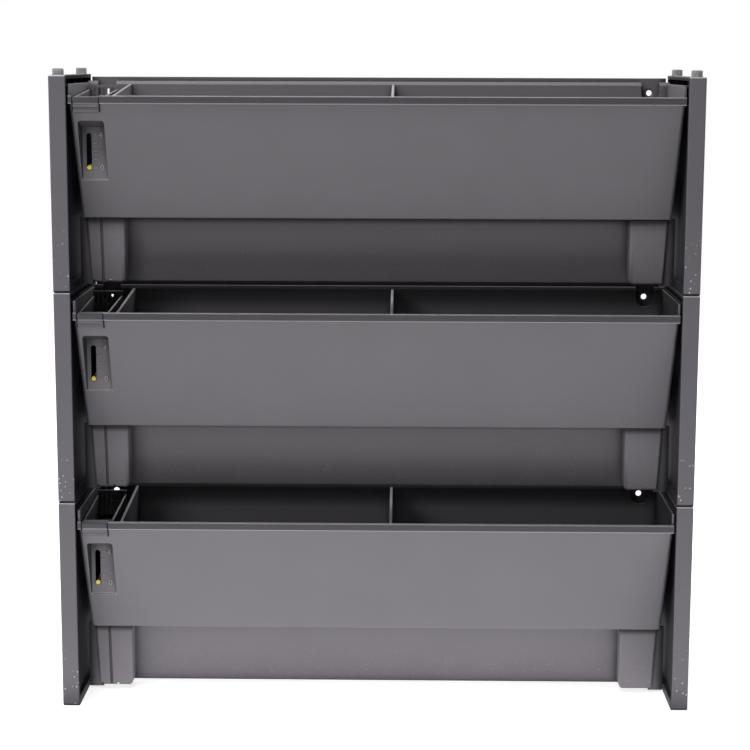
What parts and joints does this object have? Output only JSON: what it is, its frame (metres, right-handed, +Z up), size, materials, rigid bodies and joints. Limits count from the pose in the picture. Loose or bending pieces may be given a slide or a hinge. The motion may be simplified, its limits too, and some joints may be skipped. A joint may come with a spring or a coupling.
{
  "type": "stacking wall planter",
  "caption": "Stacking wall planter of moulded plastic tiers: slanted self-watering troughs between side panels, each with a filler, a float gauge, a skirt and wall screw holes.",
  "frame": {"origin": "middle of the footprint, on the floor under the side panels", "axes": "+Z up, front towards -Y, +X to the right seen from the front"},
  "size_m": [0.6, 0.145, 0.606],
  "materials": {
    "frame_plastic": "charcoal polypropylene, finely textured",
    "trough_plastic": "charcoal polypropylene, satin",
    "grate_plastic": "black polypropylene",
    "float_foam": "white closed-cell foam",
    "gauge_plastic": "yellow polypropylene",
    "screw_steel": "zinc plated"
  },
  "bodies": {
    "lower_frame": {"lower_left_panel": "frame_plastic", "lower_right_panel": "frame_plastic", "lower_rear_panel": "frame_plastic", "lower_panel_screws": "screw_steel"},
    "lower_trough": {"lower_trough": "trough_plastic", "lower_filler_insert": "trough_plastic", "lower_left_grate": "grate_plastic", "lower_right_grate": "grate_plastic"},
    "lower_float": {"lower_float": "float_foam", "lower_gauge_arm": "gauge_plastic"},
    "middle_frame": {"middle_left_panel": "frame_plastic", "middle_right_panel": "frame_plastic", "middle_rear_panel": "frame_plastic", "middle_panel_screws": "screw_steel"},
    "middle_trough": {"middle_trough": "trough_plastic", "middle_filler_insert": "trough_plastic", "middle_left_grate": "grate_plastic", "middle_right_grate": "grate_plastic"},
    "middle_float": {"middle_float": "float_foam", "middle_gauge_arm": "gauge_plastic"},
    "upper_frame": {"upper_left_panel": "frame_plastic", "upper_right_panel": "frame_plastic", "upper_rear_panel": "frame_plastic", "upper_panel_screws": "screw_steel"},
    "upper_trough": {"upper_trough": "trough_plastic", "upper_filler_insert": "trough_plastic", "upper_left_grate": "grate_plastic", "upper_right_grate": "grate_plastic"},
    "upper_float": {"upper_float": "float_foam", "upper_gauge_arm": "gauge_plastic"}
  },
  "joints": [
    {"name": "lower_trough_slide", "type": "slide", "parent": "lower_frame", "child": "lower_trough", "axis": [0, -1, 0], "range_m": [0, 0.12]},
    {"name": "lower_float_slide", "type": "slide", "parent": "lower_trough", "child": "lower_float", "axis": [0, 0, 1], "range_m": [0, 0.0295]},
    {"name": "middle_trough_slide", "type": "slide", "parent": "middle_frame", "child": "middle_trough", "axis": [0, -1, 0], "range_m": [0, 0.12]},
    {"name": "middle_float_slide", "type": "slide", "parent": "middle_trough", "child": "middle_float", "axis": [0, 0, 1], "range_m": [0, 0.0295]},
    {"name": "upper_trough_slide", "type": "slide", "parent": "upper_frame", "child": "upper_trough", "axis": [0, -1, 0], "range_m": [0, 0.12]},
    {"name": "upper_float_slide", "type": "slide", "parent": "upper_trough", "child": "upper_float", "axis": [0, 0, 1], "range_m": [0, 0.0295]},
    {"name": "middle_tier_lift", "type": "slide", "parent": "lower_frame", "child": "middle_frame", "axis": [0, 0, 1], "range_m": [0, 0.06]},
    {"name": "upper_tier_lift", "type": "slide", "parent": "middle_frame", "child": "upper_frame", "axis": [0, 0, 1], "range_m": [0, 0.06]}
  ]
}
